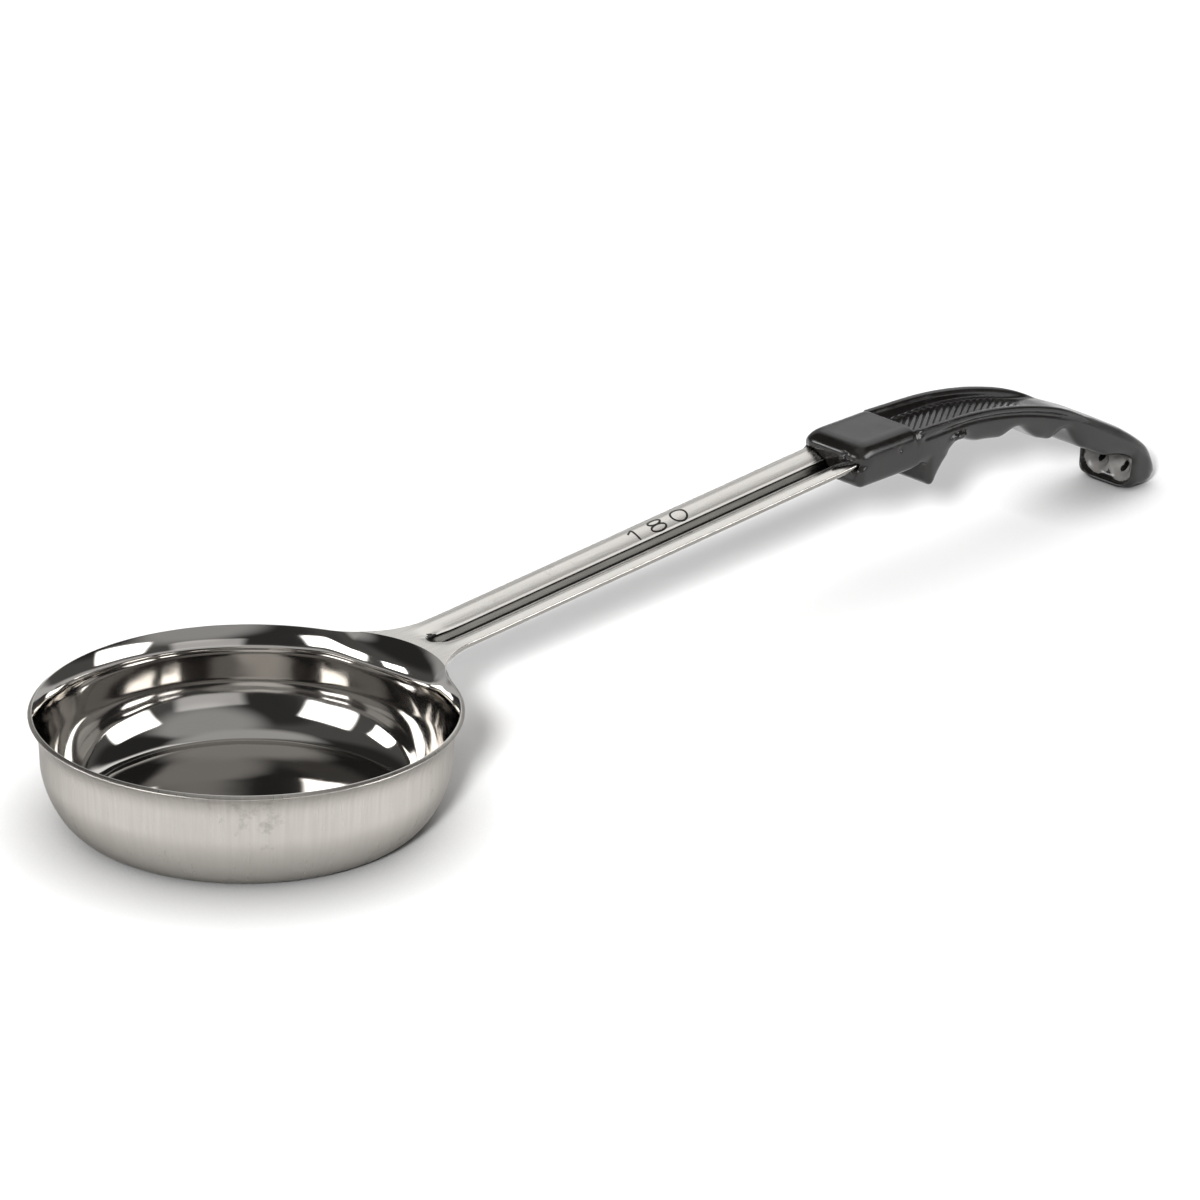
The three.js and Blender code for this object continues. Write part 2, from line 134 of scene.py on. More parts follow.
def sheet_reach(angle):
    """Radius at which the bowl's wall ends: at the trimmed rim, the neck's edge or the fold of the neck."""
    turned = abs((angle + math.pi) % (2 * math.pi) - math.pi)
    if turned >= root_angle:
        return edge_radius
    if turned <= fold_angle + 1e-9:
        return fold_centre * math.cos(turned) + math.sqrt(fold_arc ** 2 - (fold_centre * math.sin(turned)) ** 2)
    along = (edge_radius + neck_fillet) * math.cos(root_angle - turned)
    return along - math.sqrt(along ** 2 - (edge_radius + neck_fillet) ** 2 + neck_fillet ** 2)


def base_corner():
    """Upper side of the turn from base to wall, tight at the base and slow up the wall: the lower side's line, moved
    in by the sheet's thickness."""
    a, b = np.array((base_radius, 0.0)), np.array((base_radius + corner_run_out, 0.0))
    c, d = np.array((wall_foot, corner_rise - corner_run_up)), np.array((wall_foot, corner_rise))
    shares = np.linspace(0.0, 1.0, 21)
    way = bezier(b - a, c - b, d - c, shares)
    way /= np.linalg.norm(way, axis=1)[:, None]
    return cubic(a, b, c, d, shares) + sheet * np.stack([-way[:, 1], way[:, 0]], 1)


def wall_path(angle):
    """Upper side of the sheet from the bowl's middle to its edge, as (radius, height)."""
    flat = [(r, sheet) for r in (3.0, 9.0, 15.0, 21.0, 27.0, 32.0, 35.5)]
    corner = [tuple(p) for p in base_corner()]
    start = (wall_radius, lip_start)
    beyond = sheet_reach(angle) - edge_radius
    share = min(beyond / 2.0, 1.0)
    end = (edge_radius + beyond, bowl_depth - 0.05 * (1.0 - share))
    knee = (wall_radius + 0.1 * beyond, lip_start + mix(3.6, 4.6, share))
    wall = [(mix(wall_foot - sheet, wall_radius, 0.5), mix(corner_rise, lip_start, 0.5)), start]
    return np.array(flat + corner + wall + [tuple(p) for p in bezier(start, knee, end, lip_shares)])


neck_end, station_step = 76.0, 3.0
groove_half, groove_end, groove_end_radius = 2.1, 61.6, 2.6
fold_sharpness = 0.8


def build_pressing():
    """The sheet's upper side: rings of the bowl, then stations from the fold along neck, shank and tang."""
    paths = [wall_path(a) for a in angles]
    rows, columns = len(paths[0]), len(angles)
    points = [(0.0, 0.0, sheet)]
    for i in range(rows):
        points += [(p[i][0] * math.cos(a), p[i][0] * math.sin(a), p[i][1]) for p, a in zip(paths, angles)]

    def at(i, j):
        return 1 + i * columns + j % columns

    faces = [(0, at(0, j), at(0, j + 1)) for j in range(columns)]
    for i in range(rows - 1):
        faces += [(at(i, j), at(i + 1, j), at(i + 1, j + 1), at(i, j + 1)) for j in range(columns)]
    bowl_faces = len(faces)
    fold = np.array([points[at(rows - 1, j)] for j in range(len(across))])
    neck_shares = [0.005, 0.02, 0.06, 0.11, 0.17] + list(np.linspace(0.23, 1.0, 22))
    start = crease = [at(rows - 1, j) for j in range(len(across))]
    stations = []
    for t in neck_shares:
        x = mix(fold[:, 0], neck_end, t)
        y = across * strip_half(x) + (fold[:, 1] - across * strip_half(fold[:, 0])) * (1.0 - t) ** 2
        stations.append((x, y))
    shank = np.concatenate([np.arange(neck_end + station_step, tang_start - 1.0, station_step),
                            np.linspace(tang_start - 0.5, tang_start + tang_blend + 0.5, 11),
                            np.linspace(tang_start + tang_blend + station_step, tang_end, 8)])
    stations += [(np.full_like(across, x), across * strip_half(x)) for x in shank]
    for x, y in stations:
        first = len(points)
        points += list(zip(x, y, sheet_top(x, y)))
        row = list(range(first, first + len(across)))
        faces += [(start[j], row[j], row[j + 1], start[j + 1]) for j in range(len(across) - 1)]
        start = row
    mesh = bpy.data.meshes.new("steel_pressing")
    mesh.from_pydata([tuple(c * MM for c in p) for p in points], [], faces)
    off_middle = np.abs(across[1:] + across[:-1]) * 0.5 * shank_half
    finish = [0] * bowl_faces
    for x, _ in stations:
        round_end = np.hypot((x[:-1] - groove_end) / groove_end_radius, off_middle / groove_end_radius) < 1.0
        finish += np.where(round_end | (off_middle < groove_half) & (x[:-1] > groove_end), 2, 1).tolist()
    mesh.polygons.foreach_set("material_index", finish)
    mesh.polygons.foreach_set("use_smooth", [True] * len(faces))
    mesh.update(calc_edges=True)
    folded = [set(e.vertices) <= set(crease) for e in mesh.edges]
    sharp = mesh.attributes.new("crease_edge", "FLOAT", "EDGE")
    sharp.data.foreach_set("value", [fold_sharpness * f for f in folded])
    return mesh


pressing = bpy.data.objects.new("steel_pressing", build_pressing())
bpy.context.scene.collection.objects.link(pressing)
# Material slots 0 to 2 are the upper side: bowl, shank and groove. The lower side adds 3 to them, the cut edge 6.
thickness = pressing.modifiers.new("sheet", "SOLIDIFY")
thickness.thickness = sheet * MM
thickness.offset = -1.0
thickness.use_quality_normals = True
thickness.material_offset = 3
thickness.material_offset_rim = 6
rounding = pressing.modifiers.new("drawn", "SUBSURF")
rounding.levels = rounding.render_levels = 1


def linear(code):
    """An sRGB hex colour as linear RGBA."""
    parts = [int(code[i:i + 2], 16) / 255.0 for i in (1, 3, 5)]
    return tuple(c / 12.92 if c <= 0.04045 else ((c + 0.055) / 1.055) ** 2.4 for c in parts) + (1.0,)


def add(tree, kind, links=None, **settings):
    """Adds a node: settings are its own properties, links are values or outputs for its inputs."""
    node = tree.nodes.new(kind)
    for key, value in settings.items():
        setattr(node, key, value)
    for key, value in (links or {}).items():
        socket = node.inputs[key]
        if isinstance(value, bpy.types.NodeSocket):
            tree.links.new(value, socket)
        else:
            socket.default_value = value
    return node


def new_material(name):
    material = bpy.data.materials.new(name)
    material.use_nodes = True
    tree = material.node_tree
    return material, tree, tree.nodes["Principled BSDF"]


def polished_steel():
    """Buffed stainless steel: near a mirror, with waves of the drawn sheet every 14 mm and patches of haze from wear,
    11 mm across. The wall, rubbed most in use, is a little duller than base and lip."""
    material, tree, surface = new_material("polished_stainless_steel")
    surface.inputs["Base Color"].default_value = linear("#c6c3bf")
    surface.inputs["Metallic"].default_value = 1.0
    place = add(tree, "ShaderNodeTexCoord").outputs["Object"]
    haze = add(tree, "ShaderNodeTexNoise", {"Vector": place, "Scale": 1 / 0.011, "Detail": 3.0, "Roughness": 0.6})
    height = add(tree, "ShaderNodeSeparateXYZ", {"Vector": place}).outputs["Z"]
    from_wall = add(tree, "ShaderNodeMath", {0: height, 1: 0.0155}, operation="SUBTRACT")
    off_wall = add(tree, "ShaderNodeMath", {0: from_wall.outputs[0]}, operation="ABSOLUTE")
    dull_wall = add(tree, "ShaderNodeMapRange", {"Value": off_wall.outputs[0], "From Min": 0.0075,
                                                  "From Max": 0.0035, "To Max": 0.03},
                    interpolation_type="SMOOTHSTEP")
    rough = add(tree, "ShaderNodeMapRange", {"Value": haze.outputs["Fac"], "From Min": 0.42, "From Max": 0.75,
                                              "To Min": 0.035, "To Max": 0.09})
    whole = add(tree, "ShaderNodeMath", {0: rough.outputs["Result"], 1: dull_wall.outputs["Result"]})
    tree.links.new(whole.outputs[0], surface.inputs["Roughness"])
    waves = add(tree, "ShaderNodeTexNoise", {"Vector": place, "Scale": 1 / 0.014, "Detail": 1.0})
    bump = add(tree, "ShaderNodeBump", {"Height": waves.outputs["Fac"], "Strength": 0.4, "Distance": 0.0004})
    tree.links.new(bump.outputs["Normal"], surface.inputs["Normal"])
    return material


def satin_steel(name, colour, direction, gloss, edge=1.0):
    """Belt-ground stainless steel: a soft sheen drawn out by fine lines along one direction, with light smudges.
    Real lines are under 0.1 mm apart: they are drawn 0.6 mm, and their bands 1.1 mm, so that they show."""
    material, tree, surface = new_material(name)
    surface.inputs["Metallic"].default_value = 1.0
    # Specular Tint is the steel's colour at grazing angles: set below 1 it is painted shade that darkens the steel
    # towards its silhouettes.
    surface.inputs["Specular Tint"].default_value = (edge, edge, edge, 1.0)
    place = add(tree, "ShaderNodeTexCoord").outputs["Object"]
    if direction == "up":
        part = add(tree, "ShaderNodeSeparateXYZ", {"Vector": place})
        angle = add(tree, "ShaderNodeMath", {0: part.outputs["Y"], 1: part.outputs["X"]}, operation="ARCTAN2")
        round_it = add(tree, "ShaderNodeMath", {0: angle.outputs[0], 1: 0.0475}, operation="MULTIPLY")
        along = add(tree, "ShaderNodeMath", {0: part.outputs["Z"], 1: 0.05}, operation="MULTIPLY")
        grain = add(tree, "ShaderNodeCombineXYZ", {"X": round_it.outputs[0], "Y": along.outputs[0]}).outputs[0]
        strength = add(tree, "ShaderNodeMapRange", {"Value": part.outputs["Z"], "From Min": 0.006, "From Max": 0.022,
                                                     "To Min": 0.08, "To Max": 0.45}).outputs["Result"]
    else:
        grain = add(tree, "ShaderNodeMapping", {"Vector": place, "Scale": (0.02, 1.0, 1.0)}).outputs[0]
        strength = 0.35
    lines = add(tree, "ShaderNodeTexNoise", {"Vector": grain, "Scale": 1 / 0.0006, "Detail": 4.0, "Roughness": 0.7})
    bands = add(tree, "ShaderNodeTexNoise", {"Vector": grain, "Scale": 1 / 0.0011, "Detail": 3.0})
    spots = add(tree, "ShaderNodeTexNoise", {"Vector": place, "Scale": 1 / 0.004, "Detail": 6.0, "Roughness": 0.75})
    patches = add(tree, "ShaderNodeTexNoise", {"Vector": place, "Scale": 1 / 0.023, "Detail": 2.0})
    marks = add(tree, "ShaderNodeMath", {0: spots.outputs["Fac"], 1: patches.outputs["Fac"]}, operation="MULTIPLY")
    tone = add(tree, "ShaderNodeMapRange", {"Value": marks.outputs[0], "From Min": 0.35, "From Max": 0.46})
    streak = add(tree, "ShaderNodeMapRange", {"Value": bands.outputs["Fac"], "From Min": 0.35, "From Max": 0.65,
                                               "To Min": 0.0, "To Max": strength})
    clean = add(tree, "ShaderNodeMix", {"Factor": streak.outputs["Result"], 6: linear(colour[0]),
                                         7: linear(colour[1])}, data_type="RGBA")
    smudged = add(tree, "ShaderNodeMix", {"Factor": tone.outputs["Result"], 6: clean.outputs[2],
                                           7: linear(colour[2])}, data_type="RGBA")
    tree.links.new(smudged.outputs[2], surface.inputs["Base Color"])
    rough = add(tree, "ShaderNodeMapRange", {"Value": lines.outputs["Fac"], "From Min": 0.3, "From Max": 0.7,
                                              "To Min": gloss, "To Max": gloss + 0.1})
    tree.links.new(rough.outputs["Result"], surface.inputs["Roughness"])
    bump = add(tree, "ShaderNodeBump", {"Height": lines.outputs["Fac"], "Strength": 0.12, "Distance": 0.0001})
    tree.links.new(bump.outputs["Normal"], surface.inputs["Normal"])
    return material


# The bowl's outside is ground upwards and greyed by use, the shank is ground along and brighter. The groove has a
# dark colour, which is painted shade in its hollow, and the sheared edge is grey with a tighter glint.
# The bowl's last value, 0.45, is painted shade at its grazing edges.
bowl_satin = satin_steel("satin_stainless_steel_bowl", ("#c1bdb7", "#aaa6a0", "#a5a19b"), "up", 0.26, 0.45)
shank_satin = satin_steel("satin_stainless_steel_shank", ("#d8d5d0", "#cbc8c2", "#bcb8b2"), "along", 0.2)
groove_steel_painted_shade = satin_steel("stainless_steel_groove_painted_shade", ("#3f3e3b", "#363532", "#292826"), "along", 0.2)
# The sheared edge's darker greys are painted shade: they give the dark reflection along the edge.
cut_edge_painted_shade = satin_steel("sheared_stainless_steel_edge_painted_shade", ("#96938f", "#85827e", "#6b6864"), "along", 0.16)
upper_side = [polished_steel(), shank_satin, groove_steel_painted_shade]
lower_side = [bowl_satin, shank_satin, shank_satin]
trimmed_edge = [bowl_satin, cut_edge_painted_shade, cut_edge_painted_shade]
for finish in upper_side + lower_side + trimmed_edge:
    pressing.data.materials.append(finish)
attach(pressing, "root")
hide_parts("steel_body")

# Stamped number: a plain capacity in millilitres, struck into the sheet beside the groove. Its fine strokes are drawn
# as dark lines on the surface, because they are only a tenth of a millimetre deep: their dark colour is painted shade
# of the struck strokes.
number_start, number_foot, number_height = 128.0, 2.9, 3.7
digit_width, digit_step, stroke, stroke_lift = 4.6, 7.5, 0.5, 0.04


def oval(middle, rise, half):
    turns = np.linspace(0.0, 2.0 * math.pi, 33)
    return np.stack([0.5 + half * np.sin(turns), middle + rise * np.cos(turns)], 1)


digits = [[np.linspace((0.2, 0.7), (0.6, 1.0), 5), np.linspace((0.6, 1.05), (0.6, 0.0), 11)],
          [oval(0.26, 0.26, 0.5), oval(0.76, 0.24, 0.42)], [oval(0.5, 0.5, 0.5)]]


def build_number():
    """A flat ribbon along each stroke, laid on the sheet."""
    points, faces = [], []
    for place, lines in enumerate(digits):
        for line in lines:
            x = number_start + digit_step * place + digit_width * line[:, 0]
            y = number_foot + number_height * line[:, 1]
            way = np.stack([np.gradient(x), np.gradient(y)], 1)
            way *= 0.5 * stroke / np.linalg.norm(way, axis=1)[:, None]
            first = len(points)
            sides_x = np.stack([x - way[:, 1], x + way[:, 1]], 1)
            sides_y = np.stack([y + way[:, 0], y - way[:, 0]], 1)
            for px, py in zip(sides_x, sides_y):
                points += list(zip(px, py, sheet_top(px, py) + stroke_lift))
            starts = range(first, first + 2 * (len(x) - 1), 2)
            faces += [(i, i + 1, i + 3, i + 2) for i in starts]
    mesh = bpy.data.meshes.new("stamped_number")
    mesh.from_pydata([tuple(c * MM for c in p) for p in points], [], faces)
    return mesh


number = bpy.data.objects.new("stamped_number", build_number())
bpy.context.scene.collection.objects.link(number)
# Dark and duller than the ground sheet around it: painted shade at the bottom of the struck strokes.
stamped_strokes_painted_shade = satin_steel("stamped_stainless_steel_painted_shade", ("#3d3b39", "#343230", "#282624"), "along", 0.3)
number.data.materials.append(stamped_strokes_painted_shade)
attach(number, "root")

# Grip: one shot of black polypropylene moulded over the tang. A square sleeve, a curved arm with two rails and
# a ribbed thumb channel, a stop lug, finger scallops and a hollow toe. It is drawn as a solid field, the outline
# seen from the side crossed with the width, so that its edges and hollows get the soft radii of a moulding.
sleeve_front, sleeve_back = 192.5, 213.8
sleeve_bottom, sleeve_top = 28.97, 39.37
sleeve_half = 10.3
nose_round, nose_stretch, foot_round, tail_round = 3.0, 1.8, 1.8, 0.8
crown_level = sleeve_top - 0.7
crown_straight, crown_radius, crown_tilt, crown_bend = 13.6, 122.0, math.radians(2.3), math.radians(29.3)
knuckle_x, knuckle_lead, knuckle_drop, grip_end = 289.0, 7.2, 4.0, 304.05
toe_length, toe_radius, nose_radius, toe_corner = 12.0, 4.5, 5.8, 2.8
arm_depth, arm_growth = 7.8, 0.03
rail_half, rail_width = 9.7, 2.2
channel_depth, channel_end, channel_fade = 3.9, 69.0, 22.0
lug_front, lug_tip, lug_foot, lug_back = 217.1, 2.6, 23.0, 228.1
lug_chamfer, lug_sweep, lug_sweep_drop = 0.9, 5.0, 2.6
# Each finger scallop has its place behind the sleeve, its depth and half its length.
finger_grooves = [(16.5, 1.3, 7.0), (38.0, 2.7, 8.0), (55.0, 3.6, 6.5), (79.0, 2.4, 12.0)]
rib_pitch, rib_slant, rib_height = 1.41, math.radians(36.0), 0.6

arc_x = sleeve_back + crown_straight
arc_z = crown_level - crown_straight * math.tan(crown_tilt)
arc_centre = (arc_x - crown_radius * math.sin(crown_tilt), arc_z - crown_radius * math.cos(crown_tilt))
arc_end = (arc_centre[0] + crown_radius * math.sin(crown_bend),
           arc_centre[1] + crown_radius * math.cos(crown_bend))
knuckle_z = arc_end[1] - (knuckle_x - arc_end[0]) * math.tan(crown_bend)
knuckle = cubic((knuckle_x, knuckle_z),
                (knuckle_x + knuckle_lead * math.cos(crown_bend), knuckle_z - knuckle_lead * math.sin(crown_bend)),
                (grip_end, toe_radius + knuckle_drop), (grip_end, toe_radius), np.linspace(0.0, 1.0, 29))
toe_front = grip_end - toe_length


def crown(x):
    """Height of the arm's top line: a short straight, a long arc, a straight slope and the knuckle."""
    x = np.asarray(x, float)
    straight = crown_level - (x - sleeve_back) * math.tan(crown_tilt)
    arc = arc_centre[1] + np.sqrt(np.maximum(crown_radius ** 2 - (x - arc_centre[0]) ** 2, 0.0))
    slope = arc_end[1] - (x - arc_end[0]) * math.tan(crown_bend)
    turned = np.interp(x, knuckle[:, 0], knuckle[:, 1])
    return np.where(x < arc_x, straight, np.where(x < arc_end[0], arc, np.where(x < knuckle_x, slope, turned)))


def underside(x):
    """Height of the arm's lower line, with the finger scallops cut up into it."""
    run = np.asarray(x, float) - sleeve_back
    z = crown(x) - arm_depth - arm_growth * np.maximum(run, 0.0)
    for place, depth, half in finger_grooves:
        z += depth * (0.5 + 0.5 * np.cos(np.pi * np.minimum(np.abs(run - place) / half, 1.0)))
    return z


def side_outline():
    """The grip seen from the side, as a closed line of (x, z)."""
    along = np.arange(sleeve_back, knuckle_x, 0.6)
    heel = np.linspace(0.0, math.pi / 2, 12)
    back = np.arange(toe_front, lug_back, -0.5)
    root = float(underside(lug_front))
    tip = np.array([lug_front + lug_tip, lug_foot + 0.8])
    sweep = bezier((lug_back, float(underside(lug_back))), (lug_front + lug_sweep, root - lug_sweep_drop), tip,
                   np.linspace(0.0, 1.0, 14))
    quarter = np.linspace(0.0, math.pi / 2, 8)
    parts = [
        np.stack([sleeve_front + foot_round * (1 - np.sin(quarter)),
                  sleeve_bottom + foot_round * (1 - np.cos(quarter))], 1),
        np.stack([sleeve_front + nose_stretch * nose_round * (1 - np.cos(quarter)),
                  sleeve_top - nose_round * (1 - np.sin(quarter))], 1),
        np.stack([sleeve_back - tail_round * (1 - np.sin(quarter)),
                  sleeve_top - tail_round * (1 - np.cos(quarter))], 1),
        np.stack([along, crown(along)], 1),
        knuckle,
        np.stack([grip_end - toe_radius + toe_radius * np.cos(heel), toe_radius - toe_radius * np.sin(heel)], 1),
        np.array([(toe_front + 0.6, 0.0), (toe_front, 0.6)]),
        np.stack([back, underside(back)], 1),
        sweep,
        np.array([(lug_front + 1.7, lug_foot), (lug_front + lug_chamfer, lug_foot),
                  (lug_front, lug_foot + lug_chamfer), (lug_front, sleeve_bottom)]),
    ]
    return np.concatenate(parts)


def outline_distance(line, x, z):
    """Signed distance from points to a closed line, negative inside."""
    nearest = np.full(x.shape, 1e9)
    inside = np.zeros(x.shape, bool)
    for (ax, az), (bx, bz) in zip(line, np.roll(line, -1, 0)):
        dx, dz = bx - ax, bz - az
        length = dx * dx + dz * dz
        if length < 1e-9:
            continue
        t = np.clip(((x - ax) * dx + (z - az) * dz) / length, 0.0, 1.0)
        nearest = np.minimum(nearest, (x - ax - t * dx) ** 2 + (z - az - t * dz) ** 2)
        crosses = (az > z) != (bz > z)
        if abs(dz) > 1e-9:
            inside ^= crosses & (x < ax + (z - az) * dx / dz)
    return np.sqrt(nearest) * np.where(inside, -1.0, 1.0)


def cut_round(a, b, radius):
    """Where both are inside, with the edge between them rounded."""
    blend = np.maximum(radius - np.abs(a - b), 0.0)
    return np.maximum(a, b) + blend * blend / (4.0 * radius)


def soften(field):
    """Each value averaged with its neighbours along every axis."""
    for axis in range(field.ndim):
        ahead, behind = np.roll(field, -1, axis), np.roll(field, 1, axis)
        field = 0.5 * field + 0.25 * (ahead + behind)
    return field


# The field is sampled finely enough for the ribs, and a few steps past the grip on every side.
field_step = 0.335
grid_x = np.arange(sleeve_front - 7.5, grip_end + 1.8, field_step)
grid_y = np.arange(-sleeve_half - 1.4, sleeve_half + 1.6, field_step)
grid_z = np.arange(-1.5, sleeve_top + 1.6, field_step)

rail_overhang, rail_under, sleeve_taper = 0.75, (1.3, 2.0), 22.0
line_depth, line_below, line_width = 0.6, 2.4, 0.5
step_depth, step_height, step_slope = 0.4, 8.6, 0.6
rail_edge, toe_edge, lower_edge, lug_edge, lug_top = 0.9, 5.0, 2.8, 1.6, 29.9
sleeve_upper_edge, sleeve_lower_edge = 4.6, 2.0


def grip_width(sx, sz):
    """Half the grip's width over the side plane, and the rounding of its long edges. The rails stand a little
    proud over a fine moulded line, and a low step runs back from the toe's opening."""
    run, below = sx - sleeve_back, crown(sx) - sz
    fade = smooth(run, channel_end - channel_fade, channel_end)
    wall = mix(sleeve_half, rail_half - rail_overhang * (1.0 - fade), smooth(run, 0.0, sleeve_taper))
    half = mix(wall, rail_half, 1.0 - smooth(below, *rail_under))
    line = np.exp(-((below - line_below) / line_width) ** 2)
    half = half - line_depth * (1.0 - fade) * smooth(run, 0.0, 3.0) * line
    half = np.where(run > 0.0, half, sleeve_half)
    under_step = step_height - step_slope * (sx - toe_front) - sz
    half = half - step_depth * smooth(under_step, -0.2, 0.2) * (sx > toe_front)
    edge = mix(mix(rail_edge, toe_edge, fade), lower_edge, smooth(below, 3.0, 6.0))
    sleeve_edge = np.where(sz > mix(sleeve_bottom, sleeve_top, 0.5), sleeve_upper_edge, sleeve_lower_edge)
    edge = np.where(run > 0.0, edge, sleeve_edge)
    edge = np.where((sx > lug_front - 1.0) & (sx < lug_back) & (sz < lug_top), lug_edge, edge)
    return half, soften(soften(edge))


ribs_begin, ribs_end, ribs_side = (216.0, 218.0), (259.0, 264.0), (6.4, 7.0)
channel_rise, channel_draft = 0.025, 0.12


def thumb_channel(x, y, z, off):
    """The hollow between the rails, which runs out towards the toe, with slanted ribs on its floor."""
    opened = 1.0 - smooth(x - sleeve_back, channel_end - channel_fade, channel_end)
    floor = crown(x) - opened * (channel_depth - channel_rise * (x - sleeve_back))
    phase = (y * math.cos(rib_slant) - x * math.sin(rib_slant)) / rib_pitch
    ridge = smooth(np.abs(2.0 * (phase - np.floor(phase)) - 1.0), 0.25, 0.85)
    ribbed = smooth(x, *ribs_begin) * (1.0 - smooth(x, *ribs_end)) * (1.0 - smooth(np.abs(y), *ribs_side))
    floor = floor + rib_height * ribbed * (ridge - 0.5)
    half = rail_half - rail_width - channel_draft * (crown(x)[:, :, None] - z)
    channel = cut_round(floor[:, :, None] - z, off - half, 0.6)
    return np.maximum(channel, sleeve_back - x[:, :, None])


cup_wall, cup_corner, cup_floor, cup_depth, cup_lean = 1.5, 3.4, 1.2, 2.2, 0.2
pocket_depth, pocket_place, pocket_half, pocket_height, pocket_rise = 1.9, 3.7, 3.0, 5.1, 2.6
slot_places, slot_half, slot_radius, slot_depth = ((3.9, 5.2), (-3.9, 4.8)), 0.9, 0.6, 9.0


def toe_hollow(yy, z, depth):
    """The open cup of the toe: its front leans back, and its floor has two round pockets with a slot in each."""
    top = float(underside(toe_front)) - 0.3
    sloped = depth - cup_lean * np.maximum(z - 2.2, 0.0)
    mouth = np.maximum(sloped, z - top)
    beside = np.maximum(np.abs(yy) - (rail_half - cup_wall) + cup_corner, 0.0)
    dish = np.hypot(beside, np.maximum(cup_floor + cup_corner - z, 0.0)) - cup_corner
    dish = np.maximum(cut_round(dish, sloped - cup_depth, 1.6), z - top)
    pockets = np.sqrt(((sloped - pocket_depth) / pocket_depth) ** 2 + ((np.abs(yy) - pocket_place) / pocket_half) ** 2
                      + ((z - pocket_height) / pocket_rise) ** 2)
    pockets = (pockets - 1.0) * pocket_depth
    slots = 1e9
    for y, height in slot_places:
        across_slot, along_slot = 0.85 * (yy - y) + 0.5 * (z - height), 0.85 * (z - height) - 0.5 * (yy - y)
        slot = np.hypot(across_slot, np.maximum(np.abs(along_slot) - slot_half, 0.0)) - slot_radius
        slots = np.minimum(slots, np.maximum(slot, depth - slot_depth))
    return mouth, dish, pockets, slots


# Marks of the mould: place and size of two ejector pins on the sleeve's front and one on its side, the gate's scar
# on the near side, and a thin film of flash that crept out along the steel.
pin_marks = [(sleeve_front, 8.4, 36.2, 0.8), (sleeve_front, -4.8, 36.8, 0.7), (207.0, -sleeve_half, 35.6, 0.6)]
scar_place, scar_size = (228.2, -9.3, 33.1), (3.4, 1.0, 0.9)
film_middle, film_half, film_fade, film_reach, film_level, film_thickness = -5.6, 2.3, 2.4, 6.0, 0.38, 0.35


def mould_marks(body, x, y, z):
    """The pins leave round dents, the scar and the film stand proud."""
    deep_x, deep_y = x[:, :, None], y[:, :, None]
    for mark_x, mark_y, mark_z, size in pin_marks:
        away_from = np.sqrt((deep_x - mark_x) ** 2 + (deep_y - mark_y) ** 2 + (z - mark_z) ** 2)
        body = cut_round(body, size - away_from, 0.3)
    wobble = 0.3 * np.sin(2.6 * deep_x) * np.cos(4.1 * z) + 0.2 * np.sin(5.3 * deep_x + 1.0)
    from_scar = [(place - middle) / size for place, middle, size in zip((deep_x, deep_y, z), scar_place, scar_size)]
    scar = np.sqrt(from_scar[0] ** 2 + from_scar[1] ** 2 + from_scar[2] ** 2)
    body = np.minimum(body, (scar - 1.0 + wobble) * scar_size[2])
    off_film = np.abs(y - film_middle)
    reach = film_reach * np.clip(1.0 - off_film / film_fade, 0.0, 1.0)
    over_steel = np.abs(z - sheet_top(x, y)[:, :, None] - film_level) - film_thickness
    film = np.maximum(over_steel, (sleeve_front - reach - x)[:, :, None])
    film = np.maximum(film, np.maximum(off_film - film_half, x - sleeve_front - 1.0)[:, :, None])
    return np.minimum(body, film)


steel_gap = 0.2
channel_edge, mouth_edge, dish_edge, pocket_edge, slot_edge, socket_edge = 1.5, 0.6, 0.7, 0.6, 0.3, 0.5


def grip_field():
    """Distance to the grip's skin, negative in the plastic: outline and width, less the hollows and the steel."""
    sx, sz = np.meshgrid(grid_x, grid_z, indexing="ij")
    side = outline_distance(side_outline(), sx, sz)
    half, edge = grip_width(sx, sz)
    off = np.abs(grid_y)[None, :, None]
    nose = np.maximum(grid_x - (grip_end - nose_radius), 0.0)[:, None, None]
    inner = off - half[:, None, :] + nose_radius
    width = np.hypot(np.maximum(inner, 0.0), nose) + np.minimum(inner, 0.0) - nose_radius
    low = np.where(sx > toe_front - 4.0, np.maximum(toe_corner - sz, 0.0), 0.0)[:, None, :]
    width = np.hypot(np.maximum(width + toe_corner, 0.0), low) + np.minimum(width + toe_corner, 0.0) - toe_corner
    body = cut_round(side[:, None, :], width, edge[:, None, :])
    x, y = np.meshgrid(grid_x, grid_y, indexing="ij")
    z = grid_z[None, None, :]
    body = cut_round(body, -thumb_channel(x, y, z, off), channel_edge)
    mouth, dish, pockets, slots = toe_hollow(grid_y[None, :, None], z, grid_x[:, None, None] - toe_front)
    toe = grid_x[:, None, None] - toe_front > -0.8
    body = np.where(toe, cut_round(body, -mouth, mouth_edge), body)
    body = cut_round(body, -dish, dish_edge)
    body = cut_round(body, -pockets, pocket_edge)
    body = cut_round(body, -slots, slot_edge)
    middle = sheet_top(x, y)[:, :, None] - 0.5 * sheet
    socket = np.maximum(np.abs(z - middle) - 0.5 * sheet - steel_gap,
                        off - strip_half(grid_x)[:, None, None] - steel_gap)
    socket = np.maximum(socket, grid_x[:, None, None] - tang_end - steel_gap)
    body = cut_round(body, -socket, socket_edge)
    return soften(mould_marks(body, x, y, z))


